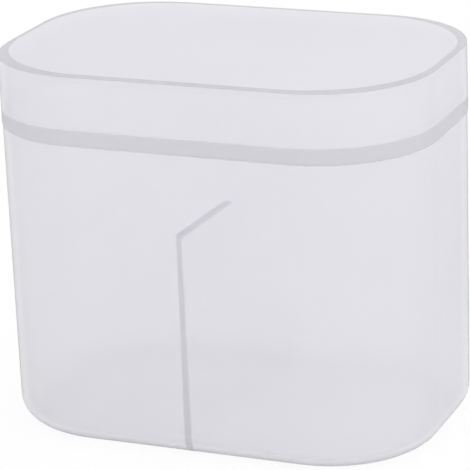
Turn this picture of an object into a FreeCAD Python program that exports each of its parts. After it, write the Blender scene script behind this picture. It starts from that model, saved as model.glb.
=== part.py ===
"""Frosted box for cotton swabs: a tub with a partition wall, and a lid that lifts off.

Millimetres, +Z up. The origin is at the middle of the base, on the surface that the box
stands on. X runs along the length and -Y is the front. Each sub-part is a body of the
document, and every size that can be set by itself is a cell of the sheet.
"""

import FreeCAD, Part
import math
import os
import Sketcher

doc = FreeCAD.newDocument("CottonSwabBox")

# Driving dimensions

DIMENSIONS = [
    ("box_length", 100.0, "outside length at the lid's lower edge, along X"),
    ("box_depth", 67.0, "outside depth at the lid's lower edge, along Y"),
    ("corner_radius", 24.8, "outside corner radius in plan, at the lid's lower edge"),
    ("draft_angle", 0.2, "degrees that every upright wall leans for the mould"),
    ("tub_height", 69.2, "from the base to the shoulder that carries the lid"),
    ("tub_wall", 1.6, "thickness of the tub's wall"),
    ("floor_thickness", 1.6, "thickness of the tub's floor"),
    ("foot_round", 5.2, "outside round between the base and the wall"),
    ("floor_round", 3.0, "inside round between the floor and the wall"),
    ("neck_height", 3.6, "how far the tub's thin neck stands up above the shoulder"),
    ("neck_chamfer", 0.3, "lead-in on the neck's top outer edge"),
    ("lid_height", 15.6, "from the lid's lower edge to its top"),
    ("lid_wall", 1.6, "thickness of the lid's skirt above the lap"),
    ("lid_overhang", 0.15, "how far the lid's lower edge stands out past the shoulder"),
    ("lip_thickness", 0.75, "thickness of the lid's lip, which goes round the neck"),
    ("lip_edge_round", 0.2, "round on the lid's lower outer edge"),
    ("top_thickness", 1.6, "thickness of the lid's top panel"),
    ("top_inner_round", 1.2, "round inside the lid between its top panel and skirt"),
    ("bevel_width", 1.7, "width of the shallow bevel along the lid's front and back"),
    ("bevel_end_width", 1.2, "the bevel's width along the lid's two ends"),
    ("bevel_height", 0.2, "fall of that bevel from its inner line to its outer line"),
    ("bevel_corner", 2.4, "the bevel's width across a corner, along the diagonal"),
    ("lap_clearance", 0.15, "gap all round between the neck and the lid's lip"),
    ("lap_headroom", 0.4, "gap over the neck's top, inside the lid"),
    ("seat_clearance", 0.05, "gap between the lid's lower edge and the shoulder"),
    ("partition_height", 49.9, "from the floor to the partition's crest at the tub's front wall"),
    ("partition_run", 25.2, "how far that crest runs straight back from the front wall"),
    ("partition_fall", 0.9, "how much lower the crest is at the end of that run"),
    ("partition_knee", 3.0, "radius where the crest turns down into the slope"),
    ("partition_low", 10.4, "height over the floor of the partition's back end"),
    ("partition_foot", 1.6, "partition's thickness at the floor"),
    ("partition_crest", 1.2, "partition's thickness at its crest"),
]

sheet = doc.addObject("Spreadsheet::Sheet", "Sizes")
for row, (name, value, meaning) in enumerate(DIMENSIONS, start=1):
    sheet.set("A%d" % row, name)
    sheet.set("B%d" % row, str(value))
    sheet.set("C%d" % row, meaning)
    sheet.setAlias("B%d" % row, name)
doc.recompute()
size = {name: value for name, value, meaning in DIMENSIONS}

# Levels and insets, as expressions that the pieces share
# An inset is a distance inwards from the box's outline at the lid's lower edge

LEAN = "tan(Sizes.draft_angle * 1 deg)"
FLOOR = "Sizes.floor_thickness"
CREST = "(%s + Sizes.partition_height)" % FLOOR
BACK_END = "(%s + Sizes.partition_low)" % FLOOR
SHOULDER = "Sizes.tub_height"
NECK_TOP = "(%s + Sizes.neck_height)" % SHOULDER
LID_EDGE = "(%s + Sizes.seat_clearance)" % SHOULDER
LAP_TOP = "(%s + Sizes.lap_headroom)" % NECK_TOP
LID_TOP = "(%s + Sizes.lid_height)" % LID_EDGE
TOP_INSIDE = "(%s - Sizes.top_thickness)" % LID_TOP
BEVEL_FOOT = "(%s - Sizes.bevel_height)" % LID_TOP

LIP_INSET = "Sizes.lip_thickness"
NECK_INSET = "(%s + Sizes.lap_clearance)" % LIP_INSET


def tub_outside(level):
    """Inset of the tub's outside at a level."""
    return "(Sizes.lid_overhang + (%s - %s) * %s)" % (SHOULDER, level, LEAN)


def tub_inside(level):
    """Inset of the tub's inside at a level."""
    return "(%s + Sizes.tub_wall)" % tub_outside(level)


def lid_outside(level):
    """Inset of the lid's outside at a level."""
    return "((%s - %s) * %s)" % (level, LID_EDGE, LEAN)


def lid_inside(level):
    """Inset of the lid's inside at a level above the lap."""
    return "(%s + Sizes.lid_wall)" % lid_outside(level)


def half_depth(inset):
    """From the middle to the front or back of the outline at an inset."""
    return "(Sizes.box_depth / 2 - %s)" % inset


def value_of(expression):
    """The number that an expression gives now."""
    result = sheet.evalExpression(expression)
    return float(getattr(result, "Value", result))


# Sketches

def new_body(name):
    """A sub-part: a body with a label of its own, placed at the origin."""
    body = doc.addObject("PartDesign::Body", name)
    body.Label = name
    body.Placement = FreeCAD.Placement()
    return body


def plane_sketch(body, name, role, level=None):
    """An empty sketch on one of its body's origin planes, lifted to a level."""
    sketch = body.newObject("Sketcher::SketchObject", name)
    plane = next(item for item in body.Origin.OriginFeatures if item.Role == role)
    sketch.AttachmentSupport = [(plane, "")]
    sketch.MapMode = "FlatFace"
    if level is not None:
        sketch.setExpression("AttachmentOffset.Base.z", level)
    return sketch


def constrain(sketch, *constraint):
    """A constraint without a size."""
    return sketch.addConstraint(Sketcher.Constraint(*constraint))


def dimension(sketch, expression, *constraint):
    """A constraint whose size follows an expression."""
    index = constrain(sketch, *constraint, value_of(expression))
    sketch.setExpression("Constraints[%d]" % index, expression)


def chain(sketch, curves):
    """Curves drawn end to end in a closed loop. Returns the first one's number."""
    first = sketch.GeometryCount
    for curve in curves:
        sketch.addGeometry(curve)
    return first


def polygon(sketch, corners):
    """A closed loop of lines through the corners. Returns the first one's number."""
    ends = corners[1:] + corners[:1]
    first = chain(sketch, [Part.LineSegment(a, b) for a, b in zip(corners, ends)])
    count = len(corners)
    for number in range(count):
        following = first + (number + 1) % count
        constrain(sketch, "Coincident", first + number, 2, following, 1)
    return first


def arc(centre, radius, start, end):
    """An arc in the sketch's plane, its angles in radians."""
    circle = Part.Circle(centre, FreeCAD.Vector(0, 0, 1), radius)
    return Part.ArcOfCircle(circle, start, end)


def outline(body, name, level, inset, radius=None, end_inset=None):
    """The box's plan at a level, drawn in by an inset: a rounded rectangle."""
    length = "(Sizes.box_length - 2 * %s)" % (end_inset or inset)
    depth = "(Sizes.box_depth - 2 * %s)" % inset
    radius = radius or "(Sizes.corner_radius - %s)" % inset
    sketch = plane_sketch(body, name, "XY_Plane", level)
    r = value_of(radius)
    x = value_of(length) / 2 - r
    y = value_of(depth) / 2 - r
    quarter = math.pi / 2
    corners = [arc(FreeCAD.Vector(*centre), r, turn * quarter, (turn + 1) * quarter)
               for turn, centre in enumerate([(x, y), (-x, y), (-x, -y), (x, -y)])]
    curves = []
    for corner, following in zip(corners, corners[1:] + corners[:1]):
        curves.append(corner)
        curves.append(Part.LineSegment(corner.EndPoint, following.StartPoint))
    chain(sketch, curves)
    for corner in (0, 2, 4, 6):
        side = corner + 1
        constrain(sketch, "Tangent", corner, 2, side, 1)
        constrain(sketch, "Tangent", side, 2, (corner + 2) % 8, 1)
        constrain(sketch, "Horizontal" if corner % 4 == 0 else "Vertical", side)
    for corner in (2, 4, 6):
        constrain(sketch, "Equal", 0, corner)
    constrain(sketch, "Symmetric", 0, 3, 4, 3, -1, 1)
    dimension(sketch, radius, "Radius", 0)
    dimension(sketch, length, "DistanceX", 3, 1, 7, 1)
    dimension(sketch, depth, "DistanceY", 5, 1, 1, 1)
    return sketch


# Features

def take_away(feature, before):
    """Recompute a feature that cuts, and make sure that it took something away."""
    doc.recompute()
    if feature.Shape.Volume > before.Volume - 1e-3:
        raise ValueError("%s cuts nothing" % feature.Name)
    return feature


def loft(body, kind, name, lower, upper):
    """A straight-sided loft between two outlines, which adds or cuts."""
    feature = body.newObject("PartDesign::%sLoft" % kind, name)
    feature.Profile = lower
    feature.Sections = [upper]
    feature.Ruled = True
    doc.recompute()
    return feature


def inset_of(point):
    """How far inwards from the box's outline a point lies."""
    r = size["corner_radius"]
    x = max(abs(point.x) - size["box_length"] / 2 + r, 0)
    y = max(abs(point.y) - size["box_depth"] / 2 + r, 0)
    return r - math.hypot(x, y)


def edges_at(shape, level, largest_inset=math.inf):
    """Names of the edges that lie at a level, no further in than an inset."""
    names = []
    for number, edge in enumerate(shape.Edges, start=1):
        middle = edge.valueAt((edge.FirstParameter + edge.LastParameter) / 2)
        points = [vertex.Point for vertex in edge.Vertexes] + [middle]
        if all(abs(point.z - level) < 1e-4 and inset_of(point) < largest_inset
               for point in points):
            names.append("Edge%d" % number)
    return names


def dress(body, kind, name, base, edges, sizes):
    """A fillet or a chamfer on named edges of the feature before it."""
    feature = body.newObject("PartDesign::" + kind, name)
    feature.Base = (base, edges)
    for amount, expression in sizes.items():
        feature.setExpression(amount, expression)
    doc.recompute()
    return feature


# Tub: the open box, with a shoulder for the lid's edge and a thin neck inside it

def make_tub():
    tub = new_body("tub")
    block = loft(tub, "Additive", "TubBlock",
                 outline(tub, "TubBase", "0", tub_outside("0")),
                 outline(tub, "TubShoulder", SHOULDER, tub_outside(SHOULDER)))
    dress(tub, "Fillet", "FootRound", block, edges_at(block.Shape, 0),
          {"Radius": "Sizes.foot_round"})

    neck_outline = outline(tub, "NeckOutline", SHOULDER, NECK_INSET)
    neck = tub.newObject("PartDesign::Pad", "Neck")
    neck.Profile = neck_outline
    neck.setExpression("Length", "Sizes.neck_height")
    doc.recompute()

    cavity = loft(tub, "Subtractive", "Cavity",
                  outline(tub, "CavityFloor", FLOOR, tub_inside(FLOOR)),
                  outline(tub, "CavityMouth", NECK_TOP, tub_inside(NECK_TOP)))
    take_away(cavity, neck.Shape)
    inner = dress(tub, "Fillet", "FloorRound", cavity,
                  edges_at(cavity.Shape, value_of(FLOOR)), {"Radius": "Sizes.floor_round"})

    middle_of_neck = (value_of(NECK_INSET) + value_of(tub_inside(NECK_TOP))) / 2
    rim = edges_at(inner.Shape, value_of(NECK_TOP), middle_of_neck)
    dress(tub, "Chamfer", "NeckLeadIn", inner, rim, {"Size": "Sizes.neck_chamfer"})
    return tub


# Partition: the upright wall between the two compartments

def partition_section(body):
    """Seen from the front: a wall that thins from its foot to its crest."""
    sketch = plane_sketch(body, "PartitionSection", "XZ_Plane")
    foot = size["partition_foot"] / 2
    crest = size["partition_crest"] / 2
    low = value_of(FLOOR)
    high = value_of(CREST)
    vector = FreeCAD.Vector
    polygon(sketch, [vector(-foot, low), vector(foot, low), vector(crest, high),
                     vector(-crest, high)])
    constrain(sketch, "Symmetric", 0, 1, 0, 2, -2)
    constrain(sketch, "Symmetric", 2, 1, 2, 2, -2)
    dimension(sketch, "Sizes.partition_foot", "DistanceX", 0, 1, 0, 2)
    dimension(sketch, "Sizes.partition_crest", "DistanceX", 3, 1, 2, 1)
    dimension(sketch, FLOOR, "DistanceY", -1, 1, 0, 1)
    dimension(sketch, "Sizes.partition_height", "DistanceY", 0, 2, 2, 1)
    return sketch


def partition_side(sketch):
    """Seen from the side: the tub's inside below, a crest that turns down into a slope."""
    vector = FreeCAD.Vector
    lean = math.radians(size["draft_angle"])
    low = value_of(FLOOR)
    high = value_of(CREST)
    front_top = vector(-value_of(half_depth(tub_inside(CREST))), high)
    back_top = vector(value_of(half_depth(tub_inside(BACK_END))), value_of(BACK_END))

    r = size["floor_round"]
    run = value_of(half_depth(tub_inside(FLOOR))) - r * math.tan(math.pi / 4 - lean / 2)
    back_foot = arc(vector(run, low + r), r, -math.pi / 2, -lean)
    front_foot = arc(vector(-run, low + r), r, math.pi + lean, 1.5 * math.pi)

    r = size["partition_knee"]
    crest_end = front_top + vector(size["partition_run"], -size["partition_fall"])
    crest_normal = math.atan2(size["partition_run"], size["partition_fall"])
    centre = crest_end - vector(r * math.cos(crest_normal), r * math.sin(crest_normal))
    reach = back_top - centre
    slope_normal = math.atan2(reach.y, reach.x) + math.acos(r / reach.Length)
    knee = arc(centre, r, slope_normal, crest_normal)

    chain(sketch, [Part.LineSegment(front_foot.EndPoint, back_foot.StartPoint),
                   back_foot,
                   Part.LineSegment(back_foot.EndPoint, back_top),
                   Part.LineSegment(back_top, knee.StartPoint),
                   knee,
                   Part.LineSegment(knee.EndPoint, front_top),
                   Part.LineSegment(front_top, front_foot.StartPoint),
                   front_foot])
    floor, back_arc, back, slope, bend, crest, front, front_arc = range(8)
    for curve, following in ((floor, back_arc), (back_arc, back), (slope, bend),
                             (bend, crest), (front, front_arc), (front_arc, floor)):
        constrain(sketch, "Tangent", curve, 2, following, 1)
    constrain(sketch, "Coincident", back, 2, slope, 1)
    constrain(sketch, "Coincident", crest, 2, front, 1)
    constrain(sketch, "Horizontal", floor)
    constrain(sketch, "Equal", back_arc, front_arc)
    dimension(sketch, "Sizes.floor_round", "Radius", back_arc)
    dimension(sketch, "Sizes.partition_knee", "Radius", bend)
    dimension(sketch, "Sizes.partition_run", "DistanceX", crest, 2, crest, 1)
    dimension(sketch, "Sizes.partition_fall", "DistanceY", crest, 1, crest, 2)
    dimension(sketch, FLOOR, "DistanceY", -1, 1, floor, 1)
    dimension(sketch, CREST, "DistanceY", -1, 1, front, 1)
    dimension(sketch, half_depth(tub_inside(CREST)), "DistanceX", front, 1, -1, 1)
    dimension(sketch, BACK_END, "DistanceY", -1, 1, back, 2)
    dimension(sketch, half_depth(tub_inside(BACK_END)), "DistanceX", -1, 1, back, 2)
    for wall, turn, expression in ((back, math.pi / 2 - lean, "90 deg - Sizes.draft_angle * 1 deg"),
                                   (front, lean - math.pi / 2, "Sizes.draft_angle * 1 deg - 90 deg")):
        index = constrain(sketch, "Angle", wall, turn)
        sketch.setExpression("Constraints[%d]" % index, expression)


def frame_round(sketch):
    """A rectangle well clear of the wall's blank, so that all outside its side view is cut."""
    reach = size["box_depth"]
    high = 2 * value_of(CREST)
    vector = FreeCAD.Vector
    first = polygon(sketch, [vector(-reach, -reach), vector(reach, -reach),
                             vector(reach, high), vector(-reach, high)])
    for side in (0, 2):
        constrain(sketch, "Horizontal", first + side)
        constrain(sketch, "Vertical", first + side + 1)
    dimension(sketch, "Sizes.box_depth", "DistanceX", first, 1, -1, 1)
    dimension(sketch, "Sizes.box_depth", "DistanceX", -1, 1, first, 2)
    dimension(sketch, "Sizes.box_depth", "DistanceY", first, 1, -1, 1)
    dimension(sketch, "2 * " + CREST, "DistanceY", -1, 1, first + 1, 2)


def make_partition():
    partition = new_body("partition")
    blank = partition.newObject("PartDesign::Pad", "PartitionBlank")
    blank.Profile = partition_section(partition)
    blank.Midplane = True
    blank.setExpression("Length", "Sizes.box_depth")
    doc.recompute()

    side_view = plane_sketch(partition, "PartitionSideView", "YZ_Plane")
    partition_side(side_view)
    frame_round(side_view)
    trim = partition.newObject("PartDesign::Pocket", "PartitionTrim")
    trim.Profile = side_view
    trim.Midplane = True
    trim.setExpression("Length", "2 * max(Sizes.partition_foot; Sizes.partition_crest)")
    take_away(trim, blank.Shape)
    return partition


# Lid: a top panel and its skirt, whose thin lip goes round the neck

def make_lid():
    lid = new_body("lid")
    top_inset = lid_outside(BEVEL_FOOT)
    loft(lid, "Additive", "LidBlock",
         outline(lid, "LidEdge", LID_EDGE, "0"),
         outline(lid, "LidShoulder", BEVEL_FOOT, top_inset))

    # The bevel widens at the corners, so its inner line is not concentric with the outer one
    plain_corner = "(Sizes.bevel_width + Sizes.bevel_end_width) / sqrt(2)"
    gain = "(Sizes.bevel_corner - %s) / (sqrt(2) - 1)" % plain_corner
    inner_radius = "(Sizes.corner_radius - %s + %s)" % (top_inset, gain)
    inner_inset = "(%s + Sizes.bevel_width)" % top_inset
    inner_end_inset = "(%s + Sizes.bevel_end_width)" % top_inset
    bevel = loft(lid, "Additive", "Bevel",
                 outline(lid, "BevelOuterLine", BEVEL_FOOT, top_inset),
                 outline(lid, "BevelInnerLine", LID_TOP, inner_inset, inner_radius,
                         inner_end_inset))

    lap_outline = outline(lid, "LapOutline", LID_EDGE, LIP_INSET)
    lap = lid.newObject("PartDesign::Pocket", "Lap")
    lap.Profile = lap_outline
    lap.Reversed = True
    lap.setExpression("Length", "%s - %s" % (LAP_TOP, LID_EDGE))
    take_away(lap, bevel.Shape)
    hollow = loft(lid, "Subtractive", "Hollow",
                  outline(lid, "HollowFoot", LAP_TOP, lid_inside(LAP_TOP)),
                  outline(lid, "HollowTop", TOP_INSIDE, lid_inside(TOP_INSIDE)))
    take_away(hollow, lap.Shape)

    inner = dress(lid, "Fillet", "TopInnerRound", hollow,
                  edges_at(hollow.Shape, value_of(TOP_INSIDE)),
                  {"Radius": "Sizes.top_inner_round"})
    lower_edge = edges_at(inner.Shape, value_of(LID_EDGE), value_of(LIP_INSET) / 2)
    dress(lid, "Fillet", "LipEdgeRound", inner, lower_edge, {"Radius": "Sizes.lip_edge_round"})
    return lid


# Build, check and write

def check(bodies):
    """Raise if any object failed to compute or any sub-part is not one sound solid."""
    doc.recompute()
    for item in doc.Objects:
        if "Invalid" in item.State or "Error" in item.State:
            raise ValueError("%s failed: %s" % (item.Name, item.State))
    for body in bodies:
        shape = body.Shape
        if shape.isNull() or not shape.isValid() or len(shape.Solids) != 1:
            raise ValueError("%s is not one sound solid" % body.Label)


def write(bodies):
    """One STEP file for each sub-part."""
    os.makedirs("parts", exist_ok=True)
    for body in bodies:
        body.Shape.exportStep("parts/%s.step" % body.Label)
        print("%s: %.2f cm3" % (body.Label, body.Shape.Volume / 1000))


pieces = [make_tub(), make_partition(), make_lid()]
check(pieces)
write(pieces)
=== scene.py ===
"""Frosted box for cotton swabs: a tub with a partition, and a lid that lifts off.

The tub and the lid are shells lofted through rings of points. A ring is the
box's plan, a rounded rectangle, drawn in by an inset at a height. All lengths
are metres.
"""

import math

import bmesh
import bpy
from bpy.props import FloatProperty, FloatVectorProperty, PointerProperty
from mathutils import Matrix, Vector


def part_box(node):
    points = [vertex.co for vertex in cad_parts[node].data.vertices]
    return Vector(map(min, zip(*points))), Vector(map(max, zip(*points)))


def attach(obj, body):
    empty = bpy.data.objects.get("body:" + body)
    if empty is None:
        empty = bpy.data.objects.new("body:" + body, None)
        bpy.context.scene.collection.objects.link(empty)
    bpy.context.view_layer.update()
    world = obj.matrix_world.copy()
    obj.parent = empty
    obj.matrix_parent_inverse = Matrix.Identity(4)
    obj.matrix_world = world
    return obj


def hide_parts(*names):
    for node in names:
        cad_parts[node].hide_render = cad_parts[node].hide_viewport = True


bl_info = {
    "name": "Cotton Swab Box",
    "version": (1, 0, 0),
    "blender": (4, 5, 0),
    "location": "View3D > Sidebar > Swab Box",
    "description": "Frosted tub, partition and lid of a cotton swab box, with its studio",
    "category": "Object",
}

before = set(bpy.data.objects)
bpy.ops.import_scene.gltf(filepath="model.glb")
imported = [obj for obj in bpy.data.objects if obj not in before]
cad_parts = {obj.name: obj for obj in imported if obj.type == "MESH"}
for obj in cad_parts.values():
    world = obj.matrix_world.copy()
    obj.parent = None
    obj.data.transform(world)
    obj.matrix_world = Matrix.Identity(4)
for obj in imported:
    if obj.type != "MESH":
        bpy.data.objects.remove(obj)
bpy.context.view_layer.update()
TUB_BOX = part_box("tub")
LID_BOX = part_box("lid")
PARTITION_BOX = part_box("partition")
MM = 0.001

# Steps of a ring: round each corner, along a long side and along a short one
CORNER_STEPS = 20
LONG_STEPS = 14
SHORT_STEPS = 6
# Steps of the smaller rounds
FOOT_STEPS = 10
FLOOR_STEPS = 8
CEILING_STEPS = 6
LIP_STEPS = 4
KNEE_STEPS = 12
ROOT_STEPS = 6
# Where the rings of the upright walls lie, as shares of the height between two rounds or edges
TUB_OUTER_SHARES = (0.12, 0.25, 0.4, 0.55, 0.7, 0.85, 0.985)
TUB_INNER_SHARES = (0.8, 0.6, 0.4, 0.2)
SKIRT_INNER_SHARES = (0.3, 0.65)
SKIRT_OUTER_SHARES = (0.5, 0.75, 0.93)
# Where the points of the partition's crest and slope lie, as shares of their length
CREST_SHARES = (0.02, 0.35, 0.7)
SLOPE_SHARES = (0.33, 0.66, 0.99)
# How far in from its round a flat gets rings before one face closes it
FLAT_STEPS = (18.0 * MM, 9.0 * MM)
# The small break of a moulded edge, and the finer one at the foot of the bevel
EDGE = 0.1 * MM
BEVEL_EDGE = 0.03 * MM
# Edges that turn by more than this are shaded sharp, on the tub and partition and on the lid
SHARP_TURN = math.radians(32)
LID_SHARP_TURN = math.radians(9)

# Names of the marks that the meshes carry for their plastic, as Shell.ring explains them
# the depth mark is partly plastic seen along and partly painted shade
DEPTH_AND_SHADE = "plastic_depth_and_shade"
CLEARNESS = "plastic_clearness"
OUTSIDE = "plastic_outside"
# The tub's foot, darker towards the floor, partly from plastic seen along the base and partly
# painted shade where it stands on the floor: the angles of its round where that darkening has
# faded and where it counts as outside
FOOT_SHADE_FADED = math.radians(68)
FOOT_OUTSIDE = math.radians(12)
# The power with which the foot's depth and painted shade fade
FOOT_FADE = 0.5
# The lid: depth of its lip's lower edge, partly painted shadow in the seam over the tub's
# shoulder, of its lap, and of the skirt's top, which is painted shade against the overhead light
LIP_EDGE_DEPTH_AND_SHADOW = 0.8
LAP_DEPTH = 0.7
SKIRT_TOP_SHADE = 0.1
# How far from its two edges the lap has its full depth, and from its top the skirt has its own
LAP_MARGIN = 0.5 * MM
SKIRT_MARGIN = 0.15 * MM
# The bevel: depth of its foot, partly painted shade that keeps the overhead light off its small
# chamfer, then the share of its width and the depth of each ring on it
BEVEL_FOOT_DEPTH_AND_SHADE = 0.8
BEVEL_RINGS = ((0.2, 0.6), (0.8, 0.6), (1.0, 0.75))
# The lid's top: how far in from the bevel its rings lie, and how milky it is
TOP_STEPS = (0.3 * MM, 5.5 * MM, 12.0 * MM)
TOP_CLEARNESS = -3.4
# The partition: depth of its crest, partly painted shade against the overhead light on its top
# face, of the rim below it, and of its front edge at the top and foot, where the extra darkness
# at the foot is painted shade by the floor
CREST_DEPTH_AND_SHADE = 1.25
RIM_DEPTH = 1.2
FRONT_TOP_DEPTH = 1.0
FRONT_FOOT_DEPTH_AND_SHADE = 1.4
# The point of the crest where the rim starts to fade, and over how many points it fades
RIM_FADES_AT = 8
RIM_FADES_OVER = 3
# The strip below the rim in which its milk fades out, and the one behind the front edge's foot
RIM_EDGE = 0.15 * MM
FRONT_EDGE = 1.0 * MM

# Unevenness of the plastic: scale, detail and roughness of each noise
CLOUD = (28.0, 2.0, 0.5)
GRAIN = (2600.0, 3.0, 0.6)
RIPPLE = (90.0, 1.0, 0.4)
# How much the cloud changes the clearness and the milk's tone, and the grain the roughness
CLOUD_CLEARNESS = 0.04
CLOUD_TONE = 0.025
GRAIN_ROUGHNESS = 0.07
# Strength and height of the bumps
RIPPLE_BUMP = (0.35, 0.12 * MM)
FROST_BUMP = (0.3, 0.03 * MM)
# Powers of the slant that make a turning face milkier and then darker, and the least light left
MILK_POWER = 6.0
DARK_POWER = 20.0
DARKEST = 0.6
# The blend at which Layer Weight's facing isn't bent
EVEN_BLEND = 0.5
PLASTIC_IOR = 1.49
PLASTIC_GLOSS = 0.12
DEEP_COLOUR = (0.22, 0.20, 0.27, 1)

WHITE = (1, 1, 1, 1)
PAPER_ROUGHNESS = 0.9
# The floor lies this much below the box, so that the two don't flicker
FLOOR_DROP = 0.05 * MM
LAMP_SIZE = (1.0, 0.8)
SENSOR_WIDTH = 36.0
CLIP_RANGE = (0.05, 20.0)
# Light has to pass many thin walls
MOST_BOUNCES = 16
MOST_DIFFUSE_BOUNCES = 12
MOST_WALLS = 32


# Settings

class SwabBoxPlan(bpy.types.PropertyGroup):
    """The plan that the tub and the lid are drawn in from"""

    length: FloatProperty(
        name="Length", description="Across the lid's lower edge, left to right",
        default=LID_BOX[1].x - LID_BOX[0].x, min=0.02, unit="LENGTH")
    depth: FloatProperty(
        name="Depth", description="Across the lid's lower edge, front to back",
        default=LID_BOX[1].y - LID_BOX[0].y, min=0.02, unit="LENGTH")
    corner: FloatProperty(
        name="Corner radius", description="Outside corner radius in plan",
        default=24.8 * MM, min=0.001, unit="LENGTH")
    lean: FloatProperty(
        name="Draft", description="How far every upright wall leans for the mould",
        default=math.radians(0.2), min=0.0, subtype="ANGLE", unit="ROTATION")
    wall: FloatProperty(
        name="Wall", description="Thickness of the walls, the floor and the top",
        default=1.6 * MM, min=0.0002, unit="LENGTH")


class SwabBoxTub(bpy.types.PropertyGroup):
    """The tub's own sizes"""

    shoulder: FloatProperty(
        name="Shoulder height", description="From the base to the lid's seat",
        default=69.2 * MM, min=0.01, unit="LENGTH")
    overhang: FloatProperty(
        name="Overhang", description="How far the lid stands out past the shoulder",
        default=0.15 * MM, min=0.0, unit="LENGTH")
    foot_round: FloatProperty(
        name="Foot round", description="Outside round between the base and the wall",
        default=5.2 * MM, min=0.0, unit="LENGTH")
    floor_round: FloatProperty(
        name="Floor round", description="Inside round between the floor and the wall",
        default=3.0 * MM, min=0.0, unit="LENGTH")
    neck_inset: FloatProperty(
        name="Neck inset", description="From the plan in to the neck's outside",
        default=0.9 * MM, min=0.0, unit="LENGTH")
    lead_in: FloatProperty(
        name="Lead-in", description="Chamfer on the neck's top outer edge",
        default=0.3 * MM, min=0.0, unit="LENGTH")


class SwabBoxPartition(bpy.types.PropertyGroup):
    """The partition's own sizes"""

    run: FloatProperty(
        name="Crest run", description="How far the crest runs straight back",
        default=25.2 * MM, min=0.001, unit="LENGTH")
    fall: FloatProperty(
        name="Crest fall", description="How much lower the crest is at the end of that run",
        default=0.9 * MM, min=0.0, unit="LENGTH")
    low: FloatProperty(
        name="Back height", description="Height of its back end over the floor",
        default=10.4 * MM, min=0.0, unit="LENGTH")
    knee: FloatProperty(
        name="Knee", description="Radius where the crest turns down into the slope",
        default=3.0 * MM, min=0.0001, unit="LENGTH")
    foot: FloatProperty(
        name="Foot thickness", description="Thickness at the floor",
        default=1.6 * MM, min=0.0001, unit="LENGTH")
    crest: FloatProperty(
        name="Crest thickness", description="Thickness at the crest",
        default=1.2 * MM, min=0.0001, unit="LENGTH")
    rim: FloatProperty(
        name="Rim", description="Depth of the milky rim below the crest, on both sides",
        default=0.7 * MM, min=0.0001, unit="LENGTH")
    rooted: FloatProperty(
        name="Rooted", description="How far its edges run into the tub's walls",
        default=1.45 * MM, min=0.0, unit="LENGTH")


class SwabBoxLid(bpy.types.PropertyGroup):
    """The lid's own sizes"""

    lip: FloatProperty(
        name="Lip", description="Thickness of the lip that goes round the neck",
        default=0.75 * MM, min=0.0001, unit="LENGTH")
    lap_top: FloatProperty(
        name="Lap height", description="From the lid's lower edge to the top of its lap",
        default=3.95 * MM, min=0.0, unit="LENGTH")
    bevel_width: FloatProperty(
        name="Bevel width", description="Width of the bevel along the front and back",
        default=1.7 * MM, min=0.0, unit="LENGTH")
    bevel_end_width: FloatProperty(
        name="Bevel end width", description="Width of the bevel along the two ends",
        default=1.2 * MM, min=0.0, unit="LENGTH")
    bevel_fall: FloatProperty(
        name="Bevel fall", description="Fall of that bevel from its inner line",
        default=0.2 * MM, min=0.0, unit="LENGTH")
    bevel_corner: FloatProperty(
        name="Bevel corner radius", description="Plan radius of the bevel's inner line",
        default=25.59 * MM, min=0.0, unit="LENGTH")
    inner_round: FloatProperty(
        name="Inner round", description="Round inside, between the top and the skirt",
        default=1.2 * MM, min=0.0, unit="LENGTH")
    edge_round: FloatProperty(
        name="Edge round", description="Round on the lip's lower outer edge",
        default=0.2 * MM, min=0.0, unit="LENGTH")


class SwabBoxPlastic(bpy.types.PropertyGroup):
    """The frosted plastic"""

    colour: FloatVectorProperty(
        name="Milk colour", description="Colour of the plastic where it is thick",
        default=(0.934, 0.925, 0.965), min=0.0, max=1.0, size=3, subtype="COLOR")
    clear: FloatProperty(
        name="Clear share", description="Share of light that passes one face unscattered",
        default=0.68, min=0.0, max=1.0, subtype="FACTOR")
    partition_clear: FloatProperty(
        name="Partition clear share", description="The same, for the partition's sides",
        default=0.98, min=0.0, max=1.0, subtype="FACTOR")
    tub_shade: FloatProperty(
        name="Tub shade", description="How much darker the tub is where its depth is 1",
        default=0.42, min=0.0, max=1.0, subtype="FACTOR")
    partition_shade: FloatProperty(
        name="Partition shade", description="The same, for the partition",
        default=0.18, min=0.0, max=1.0, subtype="FACTOR")
    lid_shade: FloatProperty(
        name="Lid shade", description="The same, for the lid",
        default=0.33, min=0.0, max=1.0, subtype="FACTOR")
    slant_milk: FloatProperty(
        name="Milk on the slant", description="How much clearness a face loses edge-on",
        default=0.8, min=0.0, max=1.0, subtype="FACTOR")
    slant_dimming: FloatProperty(
        name="Dimming on the slant", description="Light lost along a wall seen edge-on",
        default=0.95, min=0.0, soft_max=4.0)
    absorption: FloatProperty(
        name="Absorption", description="How fast light fades along the plastic, per metre",
        default=8.0, min=0.0)
    partition_absorption: FloatProperty(
        name="Partition absorption", description="The same, for the partition",
        default=4.0, min=0.0)
    glow: FloatProperty(
        name="Glow", description="Share of scattered light that comes from behind",
        default=0.45, min=0.0, max=1.0, subtype="FACTOR")
    roughness: FloatProperty(
        name="Roughness", description="Roughness of the satin surface",
        default=0.58, min=0.0, max=1.0, subtype="FACTOR")


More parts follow.
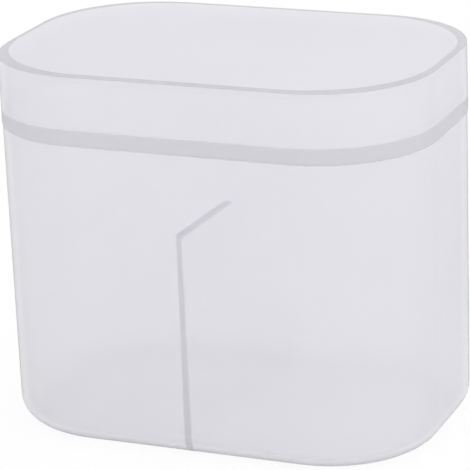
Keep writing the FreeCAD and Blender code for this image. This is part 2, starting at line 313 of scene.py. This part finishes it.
class SwabBoxStudio(bpy.types.PropertyGroup):
    """Floor, light and camera"""

    floor_colour: FloatVectorProperty(
        name="Floor colour", description="Colour of the floor",
        default=(0.93, 0.93, 0.93), min=0.0, max=1.0, size=3, subtype="COLOR")
    floor_white: FloatProperty(
        name="Floor white", description="Share of plain white in the floor that the camera sees",
        default=0.92, min=0.0, max=1.0, subtype="FACTOR")
    floor_size: FloatProperty(
        name="Floor size", description="Side of the square floor",
        default=6.0, min=0.5, unit="LENGTH")
    sky: FloatProperty(
        name="Fill light", description="Strength of the light from all round",
        default=0.928, min=0.0, soft_max=1.0)
    lamp: FloatProperty(
        name="Softbox", description="Power of the large lamp overhead",
        default=2.9, min=0.0, unit="POWER")
    lamp_place: FloatVectorProperty(
        name="Softbox place", description="Where the large lamp overhead hangs",
        default=(0.30, 0.10, 1.20), size=3, subtype="TRANSLATION", unit="LENGTH")
    side_lamp: FloatProperty(
        name="Side softbox", description="Power of the large lamp on the right",
        default=1.1, min=0.0, unit="POWER")
    side_lamp_place: FloatVectorProperty(
        name="Side softbox place", description="Where the large lamp on the right stands",
        default=(1.15, -0.45, 0.45), size=3, subtype="TRANSLATION", unit="LENGTH")
    lens: FloatProperty(
        name="Lens", description="Focal length of the camera",
        default=214.21, min=1.0, unit="CAMERA")
    eye: FloatVectorProperty(
        name="Camera place", description="Where the camera stands",
        default=(0.23052, -0.54733, 0.24122), size=3, subtype="TRANSLATION", unit="LENGTH")
    azimuth: FloatProperty(
        name="Azimuth", description="Camera's turn round the box",
        default=math.radians(22.928), subtype="ANGLE", unit="ROTATION")
    elevation: FloatProperty(
        name="Elevation", description="Camera's height over the horizon",
        default=math.radians(18.657), subtype="ANGLE", unit="ROTATION")
    roll: FloatProperty(
        name="Roll", description="Camera's turn round its own axis",
        default=math.radians(-2.263), subtype="ANGLE", unit="ROTATION")


# Shapes

def quarter(steps):
    """Angles of a quarter turn, both ends included."""
    return [math.pi / 2 * i / steps for i in range(steps + 1)]


def toward(angle):
    """The direction of an angle, one long."""
    return Vector((math.cos(angle), math.sin(angle)))


def round_off(inset, z, radius, steps, rise=1):
    """Inset, height and angle along a round that leads from a flat to a wall.

    The flat is at z and the wall at the inset. The round goes up from the flat,
    or down where rise is -1.
    """
    return [(inset + radius * (1 - math.sin(angle)),
             z + rise * radius * (1 - math.cos(angle)), angle) for angle in quarter(steps)]


def plan_ring(plan, inset, z, radius=None, end_inset=None):
    """Points round the box's plan at a height, drawn in by an inset.

    The corners' radius and the inset of the two ends follow from the inset,
    unless they are given.
    """
    half_x = plan.length / 2 - (inset if end_inset is None else end_inset)
    half_y = plan.depth / 2 - inset
    r = plan.corner - inset if radius is None else radius
    r = max(min(r, half_x, half_y), 0.0)
    flat_x, flat_y = half_x - r, half_y - r
    # each corner's centre, then the way, length and steps of the side after it
    sides = (((flat_x, flat_y), (-1, 0, 0), flat_x, LONG_STEPS),
             ((-flat_x, flat_y), (0, -1, 0), flat_y, SHORT_STEPS),
             ((-flat_x, -flat_y), (1, 0, 0), flat_x, LONG_STEPS),
             ((flat_x, -flat_y), (0, 1, 0), flat_y, SHORT_STEPS))
    points = []
    for turn, ((cx, cy), way, along, steps) in enumerate(sides):
        for angle in quarter(CORNER_STEPS):
            a = angle + turn * math.pi / 2
            points.append(Vector((cx + r * math.cos(a), cy + r * math.sin(a), z)))
        last = points[-1]
        points += [last + Vector(way) * (2 * along * i / steps) for i in range(1, steps)]
    return points


class Shell:
    """A closed shell that is lofted through rings, from one cap to the other."""

    def __init__(self, plan):
        self.plan = plan
        self.rings = []
        self.marks = []

    def ring(self, inset, z, depth=0.0, clearness=0.0, outside=0.0, radius=None, end_inset=None):
        """Adds a ring with its three marks.

        Depth is 0 where the wall is plain, up to 1 where the eye looks along
        the plastic, so that it is milkier and darker there; in some places it
        also carries painted shade, as the constants for each say. Clearness is 1
        where the wall is thinned down and negative where it is milkier.
        Outside is 1 on the outer face, which turns milky and dims edge-on.
        """
        self.rings.append(plan_ring(self.plan, inset, z, radius, end_inset))
        self.marks.append((depth, clearness, outside))

    def mesh(self, name):
        """The shell's mesh, which carries the marks at its vertices."""
        bm = bmesh.new()
        layers = [bm.verts.layers.float.new(word) for word in (DEPTH_AND_SHADE, CLEARNESS, OUTSIDE)]
        rows = []
        for ring, marks in zip(self.rings, self.marks):
            row = [bm.verts.new(point) for point in ring]
            for vert in row:
                for layer, mark in zip(layers, marks):
                    vert[layer] = mark
            rows.append(row)
        for lower, upper in zip(rows, rows[1:]):
            for i in range(len(lower)):
                j = (i + 1) % len(lower)
                bm.faces.new((lower[i], lower[j], upper[j], upper[i]))
        for row in (rows[0], rows[-1]):
            bm.faces.new(row)
        return finished_mesh(name, bm)


def finished_mesh(name, bm):
    """Turns a bmesh's faces outward and makes a mesh of it."""
    bmesh.ops.recalc_face_normals(bm, faces=bm.faces)
    mesh = bpy.data.meshes.new(name)
    bm.to_mesh(mesh)
    bm.free()
    return mesh


def smooth(mesh, sharpest=SHARP_TURN):
    """Shades a mesh smooth, but for its sharp edges."""
    mesh.shade_smooth()
    mesh.set_sharp_from_angle(angle=sharpest)


def put(name, data):
    """Puts an object in the scene, in place of an older one of that name."""
    old = bpy.data.objects.get(name)
    if old is not None:
        bpy.data.objects.remove(old, do_unlink=True)
    made = bpy.data.objects.new(name, data)
    bpy.context.scene.collection.objects.link(made)
    return made


def add_piece(name, mesh, body, material, slot, *nodes):
    """Puts a mesh in the scene as a piece that stands for CAD nodes."""
    piece = put(name, mesh)
    mesh.materials.append(material)
    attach(piece, body)
    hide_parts(*nodes)
    return piece


# Tub

def tub_shell(plan, tub):
    """The tub: under its base, up its outside, over the neck and down inside."""
    top = TUB_BOX[1].z
    lean = math.tan(plan.lean)

    def outer(z):
        """How far in the outer face stands at a height."""
        return tub.overhang + (tub.shoulder - z) * lean

    def inner(z):
        """The same, for the inner face."""
        return outer(z) + plan.wall

    shell = Shell(plan)
    for step in FLAT_STEPS:
        shell.ring(outer(0) + tub.foot_round + step, 0.0)
    # darker towards the floor: partly plastic seen along the base, partly painted shade
    for inset, z, angle in round_off(outer(0), 0.0, tub.foot_round, FOOT_STEPS):
        shell.ring(inset, z, depth=(1 - min(angle / FOOT_SHADE_FADED, 1.0)) ** FOOT_FADE,
                   outside=min(angle / FOOT_OUTSIDE, 1.0))
    for share in TUB_OUTER_SHARES:
        z = tub.foot_round + (tub.shoulder - tub.foot_round) * share
        shell.ring(outer(z), z, outside=1.0)
    shell.ring(outer(tub.shoulder), tub.shoulder - EDGE, outside=1.0)
    shell.ring(outer(tub.shoulder) + EDGE, tub.shoulder)
    shell.ring(tub.neck_inset - EDGE, tub.shoulder)
    neck = ((tub.neck_inset, tub.shoulder + EDGE),
            (tub.neck_inset, top - tub.lead_in),
            (tub.neck_inset + tub.lead_in, top),
            (inner(top) - EDGE, top),
            (inner(top), top - EDGE),
            (inner(tub.shoulder + EDGE), tub.shoulder + EDGE))
    for inset, z in neck:
        shell.ring(inset, z, clearness=1.0)
    shell.ring(inner(tub.shoulder - EDGE), tub.shoulder - EDGE)
    for share in TUB_INNER_SHARES:
        z = plan.wall + tub.floor_round + (top - plan.wall - tub.floor_round) * share
        shell.ring(inner(z), z)
    for angle in quarter(FLOOR_STEPS):
        shell.ring(inner(plan.wall) + tub.floor_round * (1 - math.cos(angle)),
                   plan.wall + tub.floor_round * (1 - math.sin(angle)))
    for step in reversed(FLAT_STEPS):
        shell.ring(inner(plan.wall) + tub.floor_round + step, plan.wall)
    mesh = shell.mesh("tub_shell")
    smooth(mesh)
    return mesh


# Partition

def crest_line(partition, front, back):
    """The crest from the front wall to the end of its knee.

    Gives its points in (y, z) and the way, as an angle, that the edge faces at
    each of them. The slope leaves the knee's arc and ends at the back wall.
    """
    crest_end = front + Vector((partition.run, -partition.fall))
    crest_way = math.atan2(partition.run, partition.fall)
    centre = crest_end - partition.knee * toward(crest_way)
    gap = back - centre
    slope_way = math.atan2(gap.y, gap.x) + math.acos(partition.knee / gap.length)
    points = [front - Vector((partition.rooted, 0))]
    points += [front.lerp(crest_end, share) for share in CREST_SHARES]
    ways = [crest_way] * len(points)
    for i in range(KNEE_STEPS + 1):
        way = crest_way + (slope_way - crest_way) * i / KNEE_STEPS
        ways.append(way)
        points.append(centre + partition.knee * toward(way))
    return points, ways


def partition_side(plan, tub, partition):
    """The partition from its side: lists of points in (y, z), and its edge's marks.

    Gives the crest, the rest of the outline from the slope round to the front
    edge, the rim's two lines below the crest, and a depth for each point of
    the crest, of the rest and of the two lines' front ends.
    """
    foot_z, crest_z = PARTITION_BOX[0].z, PARTITION_BOX[1].z
    lean = math.tan(plan.lean)

    def wall_y(z):
        """Half the tub's inside depth at a height."""
        return plan.depth / 2 - tub.overhang - plan.wall - (tub.shoulder - z) * lean

    front = Vector((-wall_y(crest_z), crest_z))
    back_z = foot_z + partition.low
    back_y = wall_y(back_z)
    back = Vector((back_y, back_z))
    crest, ways = crest_line(partition, front, back)
    slope = [crest[-1].lerp(back, share) for share in SLOPE_SHARES]

    # inside the tub's wall and floor it runs along their round
    foot_y, root = wall_y(foot_z), tub.floor_round + partition.rooted
    back_foot = [Vector((foot_y - tub.floor_round + root * math.cos(angle),
                         foot_z + tub.floor_round - root * math.sin(angle)))
                 for angle in quarter(ROOT_STEPS)]
    front_foot = [Vector((-point.x, point.y)) for point in reversed(back_foot)]
    hidden = [back, Vector((back_y + partition.rooted, back_z)), *back_foot,
              front_foot[0] + Vector((FRONT_EDGE, 0))]

    rims = []
    for drop in (partition.rim, partition.rim + RIM_EDGE):
        start = crest[0] - Vector((0, drop))
        rims.append([start] + [point - drop * toward(way)
                               for point, way in zip(crest[1:], ways[1:])])
    # the crest and slope: plastic seen along their top face, with painted shade against the lamp
    # above
    marks = [CREST_DEPTH_AND_SHADE] * len(crest + slope) + [0.0] * len(hidden)
    # the front edge shows through the wall; painted shade darkens it towards its foot by the floor
    marks += [FRONT_FOOT_DEPTH_AND_SHADE] * len(front_foot) + [FRONT_TOP_DEPTH] * len(rims)
    return crest, [*slope, *hidden, *front_foot], rims, marks


def partition_sheet(plan, tub, partition):
    """The partition: two sides with a milky rim along the crest, and the edge between them."""
    crest, rest, rims, edge_marks = partition_side(plan, tub, partition)
    outline = [*crest, *rest, rims[1][0], rims[0][0]]
    # the rim ends where the knee turns out of sight from the front
    fade = [RIM_DEPTH * max(1 - max(i - RIM_FADES_AT, 0) / RIM_FADES_OVER, 0.0)
            for i in range(len(crest))]
    foot_z, crest_z = PARTITION_BOX[0].z, PARTITION_BOX[1].z

    def half(z):
        """Half its thickness at a height."""
        share = (z - foot_z) / (crest_z - foot_z)
        thickness = partition.foot + (partition.crest - partition.foot) * share
        return min(thickness, partition.foot) / 2

    bm = bmesh.new()
    depth = bm.loops.layers.float.new(DEPTH_AND_SHADE)

    def face(verts, marks, turned=False):
        """A face with a depth at each corner. Turned, its corners go round the other way."""
        made = bm.faces.new(verts[::-1] if turned else verts)
        for loop, mark in zip(made.loops, marks[::-1] if turned else marks):
            loop[depth] = mark
        return made

    outlines = []
    last = len(crest) - 1
    for way in (-1, 1):
        turned = way > 0
        around = [bm.verts.new((way * half(point.y), point.x, point.y)) for point in outline]
        bands = [around[:last + 1]]
        for rim, start in zip(rims, (around[-1], around[-2])):
            bands.append([start] + [bm.verts.new((way * half(point.y), point.x, point.y))
                                    for point in rim[1:]])
        for upper, lower, faded in ((0, 1, fade), (1, 2, [0.0] * len(fade))):
            above, below = bands[upper], bands[lower]
            for i in range(last):
                face((above[i], above[i + 1], below[i + 1], below[i]),
                     (fade[i], fade[i + 1], faded[i + 1], faded[i]), turned)
            face((above[last], around[last + 1], below[last]), (fade[last], 0.0, 0.0), turned)
        plain = [*bands[2], *around[last + 1:-2]]
        bmesh.ops.triangulate(bm, faces=[face(plain, (0.0,) * len(plain), turned)])
        outlines.append(around)
    left, right = outlines
    for i in range(len(outline)):
        j = (i + 1) % len(outline)
        face((left[i], right[i], right[j], left[j]),
             (edge_marks[i], edge_marks[i], edge_marks[j], edge_marks[j]))
    mesh = finished_mesh("partition_sheet", bm)
    smooth(mesh)
    return mesh


# Lid

def lid_shell(plan, lid):
    """The lid: down inside from its ceiling, round the lip, up outside and over the top."""
    low, top = LID_BOX[0].z, LID_BOX[1].z
    ceiling = top - plan.wall
    lap = low + lid.lap_top
    bevel_foot = top - lid.bevel_fall
    lean = math.tan(plan.lean)

    def outer(z):
        """How far in the outer face stands at a height."""
        return (z - low) * lean

    def inner(z):
        """The same, for the inner face."""
        return outer(z) + plan.wall

    shell = Shell(plan)
    for step in FLAT_STEPS:
        shell.ring(inner(ceiling) + lid.inner_round + step, ceiling)
    for inset, z, _ in round_off(inner(ceiling), ceiling, lid.inner_round, CEILING_STEPS, rise=-1):
        shell.ring(inset, z)
    for share in SKIRT_INNER_SHARES:
        z = ceiling - lid.inner_round + (lap - ceiling + lid.inner_round) * share
        shell.ring(inner(z), z)
    shell.ring(inner(lap), lap)
    for inset, z in ((lid.lip, lap), (lid.lip, low + EDGE), (lid.lip - EDGE, low)):
        shell.ring(inset, z, clearness=1.0)
    # the lip's lower edge: partly plastic seen along its round, partly painted shadow in the seam
    for inset, z, _ in round_off(outer(low), low, lid.edge_round, LIP_STEPS):
        shell.ring(inset, z, LIP_EDGE_DEPTH_AND_SHADOW, clearness=1.0, outside=1.0)
    shell.ring(outer(low), low + LAP_MARGIN, LAP_DEPTH, clearness=1.0, outside=1.0)
    shell.ring(outer(lap), lap - LAP_MARGIN, LAP_DEPTH, clearness=1.0, outside=1.0)
    shell.ring(outer(lap), lap - EDGE, outside=1.0)
    for share in SKIRT_OUTER_SHARES:
        z = low + (bevel_foot - low) * share
        shell.ring(outer(z), z, outside=1.0)

    rim = outer(bevel_foot)
    # the skirt's top and the bevel's foot: painted shade against the overhead softbox, partly
    # depth
    shell.ring(rim, bevel_foot - SKIRT_MARGIN, SKIRT_TOP_SHADE, outside=1.0)
    shell.ring(rim, bevel_foot - BEVEL_EDGE, BEVEL_FOOT_DEPTH_AND_SHADE, outside=1.0)
    shell.ring(rim + BEVEL_EDGE, bevel_foot, BEVEL_FOOT_DEPTH_AND_SHADE, outside=1.0)
    for share, depth in BEVEL_RINGS:
        shell.ring(rim + lid.bevel_width * share, bevel_foot + lid.bevel_fall * share, depth,
                   outside=1.0,
                   radius=plan.corner - rim + (lid.bevel_corner - plan.corner + rim) * share,
                   end_inset=rim + lid.bevel_end_width * share)
    for step in TOP_STEPS:
        shell.ring(rim + lid.bevel_width + step, top, clearness=TOP_CLEARNESS,
                   radius=lid.bevel_corner - step, end_inset=rim + lid.bevel_end_width + step)
    mesh = shell.mesh("lid_shell")
    smooth(mesh, LID_SHARP_TURN)
    return mesh


# Plastic

class Tree:
    """Short words for laying out a material's or a world's nodes."""

    def __init__(self, owner):
        owner.use_nodes = True
        self.tree = owner.node_tree
        self.tree.nodes.clear()

    def node(self, kind, place, inputs=None, **values):
        """Adds a node, sets its values and fills its inputs, by name or number."""
        made = self.tree.nodes.new(kind)
        made.location = place
        for key, value in values.items():
            setattr(made, key, value)
        for key, given in (inputs or {}).items():
            if isinstance(given, bpy.types.NodeSocket):
                self.tree.links.new(given, made.inputs[key])
            else:
                made.inputs[key].default_value = given
        return made

    def math(self, how, place, *terms, clamp=False):
        """One step of arithmetic on two or three numbers."""
        return self.node("ShaderNodeMath", place, dict(enumerate(terms)),
                         operation=how, use_clamp=clamp).outputs[0]

    def noise(self, kind, place, vector):
        """Noise of a scale, detail and roughness."""
        scale, detail, roughness = kind
        return self.node("ShaderNodeTexNoise", place, {
            "Vector": vector, "Scale": scale, "Detail": detail,
            "Roughness": roughness}).outputs["Fac"]

    def mark(self, name, place):
        """A mark that the mesh carries."""
        return self.node("ShaderNodeAttribute", place, attribute_name=name).outputs["Fac"]

    def spread(self, noise, middle, reach, place):
        """Turns a noise into a number that stays within reach of a middle."""
        return self.node("ShaderNodeMapRange", place, {
            "Value": noise, "To Min": middle - reach, "To Max": middle + reach}).outputs["Result"]

    def bump(self, kind, place, height, under=None):
        """A normal with bumps of a strength and height, over another one where it is given."""
        strength, distance = kind
        inputs = {"Height": height, "Strength": strength, "Distance": distance}
        if under is not None:
            inputs["Normal"] = under
        return self.node("ShaderNodeBump", place, inputs).outputs["Normal"]

    def mix(self, share, first, second, place):
        """Mixes two shaders, with a share of the second."""
        return self.node("ShaderNodeMixShader", place,
                         {0: share, 1: first, 2: second}).outputs[0]


def named_material(name):
    """The material of that name, or a new one."""
    return bpy.data.materials.get(name) or bpy.data.materials.new(name)


def frosted_plastic(name, plastic, clear, absorption, shade):
    """Milky plastic that is seen through, less so where it is seen along.

    Clear is the share of light that passes one face, and shade how much darker
    the plastic is where its depth mark is 1.
    """
    material = named_material(name)
    t = Tree(material)
    place = t.node("ShaderNodeTexCoord", (-1500, 0)).outputs["Object"]
    cloud = t.noise(CLOUD, (-1250, 300), place)
    grain = t.noise(GRAIN, (-1250, 60), place)
    ripple = t.noise(RIPPLE, (-1250, -180), place)

    # the marks, of which the depth counts only where a face is seen from outside
    clearness = t.mark(CLEARNESS, (-1250, -1300))
    outside = t.mark(OUTSIDE, (-1250, -1500))
    behind = t.node("ShaderNodeNewGeometry", (-1450, -1100)).outputs["Backfacing"]
    outward = t.math("SUBTRACT", (-1280, -1100), 1.0, behind)
    depth = t.math("MULTIPLY", (-980, -500), t.mark(DEPTH_AND_SHADE, (-1250, -420)), outward)

    slant = t.node("ShaderNodeLayerWeight", (-1450, -740), {"Blend": EVEN_BLEND})

    def slanted(power, loss, y):
        """1, less the loss where an outer face is seen edge-on."""
        steep = t.math("POWER", (-1250, y), slant.outputs["Facing"], power)
        steep = t.math("MULTIPLY", (-1070, y), steep, outside)
        return t.math("MULTIPLY_ADD", (-880, y), steep, -loss, 1.0)

    open_face = slanted(MILK_POWER, plastic.slant_milk, -640)
    dimmed = t.math("MAXIMUM", (-700, -820),
                    slanted(DARK_POWER, plastic.slant_dimming, -820), DARKEST)

    # the share that passes straight through
    thin = t.math("SUBTRACT", (-880, -460), 1.0, depth, clamp=True)
    passed = t.math("MULTIPLY", (-700, -560), open_face, thin)
    patchy = t.math("MULTIPLY_ADD", (-880, 300), cloud, CLOUD_CLEARNESS,
                    clear - CLOUD_CLEARNESS / 2)
    # a wall of half the thickness passes the square root of the share
    clearer = t.math("MULTIPLY_ADD", (-700, 300), clearness, math.sqrt(clear) - clear, patchy)
    see = t.math("MULTIPLY", (-520, -420), passed, clearer, clamp=True)

    # the milk, darkened where the depth mark is high: partly plastic seen along, partly painted
    # shade
    tone = t.spread(cloud, 1.0, CLOUD_TONE, (-880, 120))
    milk_shade = t.math("MULTIPLY_ADD", (-700, 60), depth, -shade, 1.0)
    milk_shade = t.math("MULTIPLY", (-600, 0), milk_shade, dimmed)
    milk = t.node("ShaderNodeVectorMath", (-520, 160), {
        0: plastic.colour, "Scale": t.math("MULTIPLY", (-520, 60), tone, milk_shade),
    }, operation="SCALE").outputs[0]
    frost = t.bump(FROST_BUMP, (-520, -180), grain, t.bump(RIPPLE_BUMP, (-700, -180), ripple))

    skin = t.node("ShaderNodeBsdfPrincipled", (-260, 300), {
        "Base Color": milk, "Normal": frost,
        "Roughness": t.spread(grain, plastic.roughness, GRAIN_ROUGHNESS, (-880, -60)),
        "IOR": PLASTIC_IOR, "Specular IOR Level": PLASTIC_GLOSS})
    glow = t.node("ShaderNodeBsdfTranslucent", (-260, -120), {"Color": milk, "Normal": frost})
    body = t.mix(plastic.glow, skin.outputs[0], glow.outputs[0], (40, 100))
    through = t.node("ShaderNodeBsdfTransparent", (40, -120), {"Color": dimmed})
    within = t.node("ShaderNodeVolumeAbsorption", (260, -200), {
        "Color": DEEP_COLOUR, "Density": absorption})
    t.node("ShaderNodeOutputMaterial", (480, 0), {
        "Surface": t.mix(see, body, through.outputs[0], (260, 0)), "Volume": within.outputs[0]})
    return material


# Steps

class SWABBOX_OT_tub(bpy.types.Operator):
    """Build the tub: floor, rounded foot, walls, shoulder and neck"""

    bl_idname = "swabbox.tub"
    bl_label = "Tub"
    bl_options = {"REGISTER", "UNDO"}

    def execute(self, context):
        scene = context.scene
        plastic = scene.swabbox_plastic
        mesh = tub_shell(scene.swabbox_plan, scene.swabbox_tub)
        material = frosted_plastic("frosted_tub", plastic, plastic.clear, plastic.absorption,
                                   plastic.tub_shade)
        add_piece("tub_shell", mesh, "tub_body", material, "tub", "tub")
        return {"FINISHED"}


class SWABBOX_OT_partition(bpy.types.Operator):
    """Build the partition: a sheet with a crest, a knee and a slope"""

    bl_idname = "swabbox.partition"
    bl_label = "Partition"
    bl_options = {"REGISTER", "UNDO"}

    def execute(self, context):
        scene = context.scene
        plastic = scene.swabbox_plastic
        mesh = partition_sheet(scene.swabbox_plan, scene.swabbox_tub, scene.swabbox_partition)
        material = frosted_plastic("frosted_partition", plastic, plastic.partition_clear,
                                   plastic.partition_absorption, plastic.partition_shade)
        add_piece("partition_sheet", mesh, "tub_body", material, "partition", "partition")
        return {"FINISHED"}


class SWABBOX_OT_lid(bpy.types.Operator):
    """Build the lid: lip, lap, skirt, bevel and top panel"""

    bl_idname = "swabbox.lid"
    bl_label = "Lid"
    bl_options = {"REGISTER", "UNDO"}

    def execute(self, context):
        scene = context.scene
        plastic = scene.swabbox_plastic
        mesh = lid_shell(scene.swabbox_plan, scene.swabbox_lid)
        material = frosted_plastic("frosted_lid", plastic, plastic.clear, plastic.absorption,
                                   plastic.lid_shade)
        add_piece("lid_shell", mesh, "lid_body", material, "lid", "lid")
        return {"FINISHED"}


class SWABBOX_OT_stage(bpy.types.Operator):
    """Lay the floor, light the box and set up the camera"""

    bl_idname = "swabbox.stage"
    bl_label = "Stage"
    bl_options = {"REGISTER", "UNDO"}

    def execute(self, context):
        scene = context.scene
        studio = scene.swabbox_studio
        self.lay_floor(studio)
        self.fill(scene, studio)
        self.hang_lamps(studio)
        self.aim(scene, studio)
        scene.view_settings.view_transform = "Standard"
        scene.cycles.transparent_max_bounces = MOST_WALLS
        scene.cycles.max_bounces = MOST_BOUNCES
        scene.cycles.diffuse_bounces = MOST_DIFFUSE_BOUNCES
        return {"FINISHED"}

    def lay_floor(self, studio):
        """A square of pale paper, which looks white to the camera and keeps its shadow."""
        half = studio.floor_size / 2
        mesh = bpy.data.meshes.new("floor")
        mesh.from_pydata([(-half, -half, 0), (half, -half, 0), (half, half, 0), (-half, half, 0)],
                         [], [(0, 1, 2, 3)])
        floor = put("floor", mesh)
        floor.location.z = -FLOOR_DROP
        material = named_material("floor_paper")
        t = Tree(material)
        paper = t.node("ShaderNodeBsdfPrincipled", (-200, 100), {
            "Base Color": (*studio.floor_colour, 1), "Roughness": PAPER_ROUGHNESS,
            "Specular IOR Level": 0.0})
        white = t.node("ShaderNodeEmission", (-200, -150), {"Strength": 1.0})
        share = t.math("MULTIPLY", (-200, 250), self.seen(t), studio.floor_white)
        t.node("ShaderNodeOutputMaterial", (250, 0), {
            "Surface": t.mix(share, paper.outputs[0], white.outputs[0], (50, 0))})
        mesh.materials.append(material)

    def seen(self, t):
        """1 for what the camera sees, straight, mirrored or through glass."""
        path = t.node("ShaderNodeLightPath", (-900, -150)).outputs
        some = t.math("ADD", (-700, -100), path["Is Camera Ray"], path["Is Glossy Ray"])
        return t.math("ADD", (-550, -150), some, path["Is Transmission Ray"], clamp=True)

    def fill(self, scene, studio):
        """Soft light from all round, with white where the camera looks past the floor."""
        scene.world = bpy.data.worlds.new("studio")
        t = Tree(scene.world)
        sky = t.node("ShaderNodeBackground", (-200, 100), {
            "Color": WHITE, "Strength": studio.sky})
        white = t.node("ShaderNodeBackground", (-200, -100), {"Color": WHITE, "Strength": 1.0})
        t.node("ShaderNodeOutputWorld", (250, 0), {
            "Surface": t.mix(self.seen(t), sky.outputs[0], white.outputs[0], (50, 0))})

    def hang_lamps(self, studio):
        """Two large softboxes that face the box."""
        for name, place, power in (("softbox", studio.lamp_place, studio.lamp),
                                   ("side_softbox", studio.side_lamp_place, studio.side_lamp)):
            lamp = bpy.data.lights.new(name, "AREA")
            lamp.shape = "RECTANGLE"
            lamp.size, lamp.size_y = LAMP_SIZE
            lamp.energy = power
            holder = put(name, lamp)
            holder.location = place
            holder.rotation_mode = "QUATERNION"
            holder.rotation_quaternion = Vector(place).to_track_quat("Z", "Y")

    def aim(self, scene, studio):
        """The camera, at the photograph's place and angle."""
        a, e, r = studio.azimuth, studio.elevation, studio.roll
        back = Vector((math.sin(a) * math.cos(e), -math.cos(a) * math.cos(e), math.sin(e)))
        right = Vector((math.cos(a), math.sin(a), 0))
        up = back.cross(right)
        across = right * math.cos(r) + up * math.sin(r)
        along = up * math.cos(r) - right * math.sin(r)
        data = bpy.data.cameras.new("camera")
        data.lens = studio.lens
        data.sensor_width = SENSOR_WIDTH
        data.clip_start, data.clip_end = CLIP_RANGE
        camera = put("camera", data)
        turned = Matrix((across, along, back)).transposed().to_4x4()
        camera.matrix_world = Matrix.Translation(studio.eye) @ turned
        scene.camera = camera


# Panel

class SWABBOX_PT_panel(bpy.types.Panel):
    """Lists the settings and the steps"""

    bl_idname = "SWABBOX_PT_panel"
    bl_label = "Cotton Swab Box"
    bl_space_type = "VIEW_3D"
    bl_region_type = "UI"
    bl_category = "Swab Box"

    def draw(self, context):
        for name, (title, _) in SETTINGS.items():
            box = self.layout.box()
            box.label(text=title)
            settings = getattr(context.scene, name)
            for setting in settings.__annotations__:
                box.prop(settings, setting)
        for operator in OPERATORS:
            self.layout.operator(operator.bl_idname)


SETTINGS = {
    "swabbox_plan": ("Plan", SwabBoxPlan),
    "swabbox_tub": ("Tub", SwabBoxTub),
    "swabbox_partition": ("Partition", SwabBoxPartition),
    "swabbox_lid": ("Lid", SwabBoxLid),
    "swabbox_plastic": ("Plastic", SwabBoxPlastic),
    "swabbox_studio": ("Studio", SwabBoxStudio),
}
OPERATORS = (SWABBOX_OT_tub, SWABBOX_OT_partition, SWABBOX_OT_lid, SWABBOX_OT_stage)
CLASSES = (*(group for _, group in SETTINGS.values()), *OPERATORS, SWABBOX_PT_panel)


def register():
    for made in CLASSES:
        bpy.utils.register_class(made)
    for name, (_, group) in SETTINGS.items():
        setattr(bpy.types.Scene, name, PointerProperty(type=group))


def unregister():
    for name in SETTINGS:
        delattr(bpy.types.Scene, name)
    for made in reversed(CLASSES):
        bpy.utils.unregister_class(made)


def main():
    register()
    bpy.ops.swabbox.tub()
    bpy.ops.swabbox.partition()
    bpy.ops.swabbox.lid()
    bpy.ops.swabbox.stage()


if __name__ == "__main__":
    main()
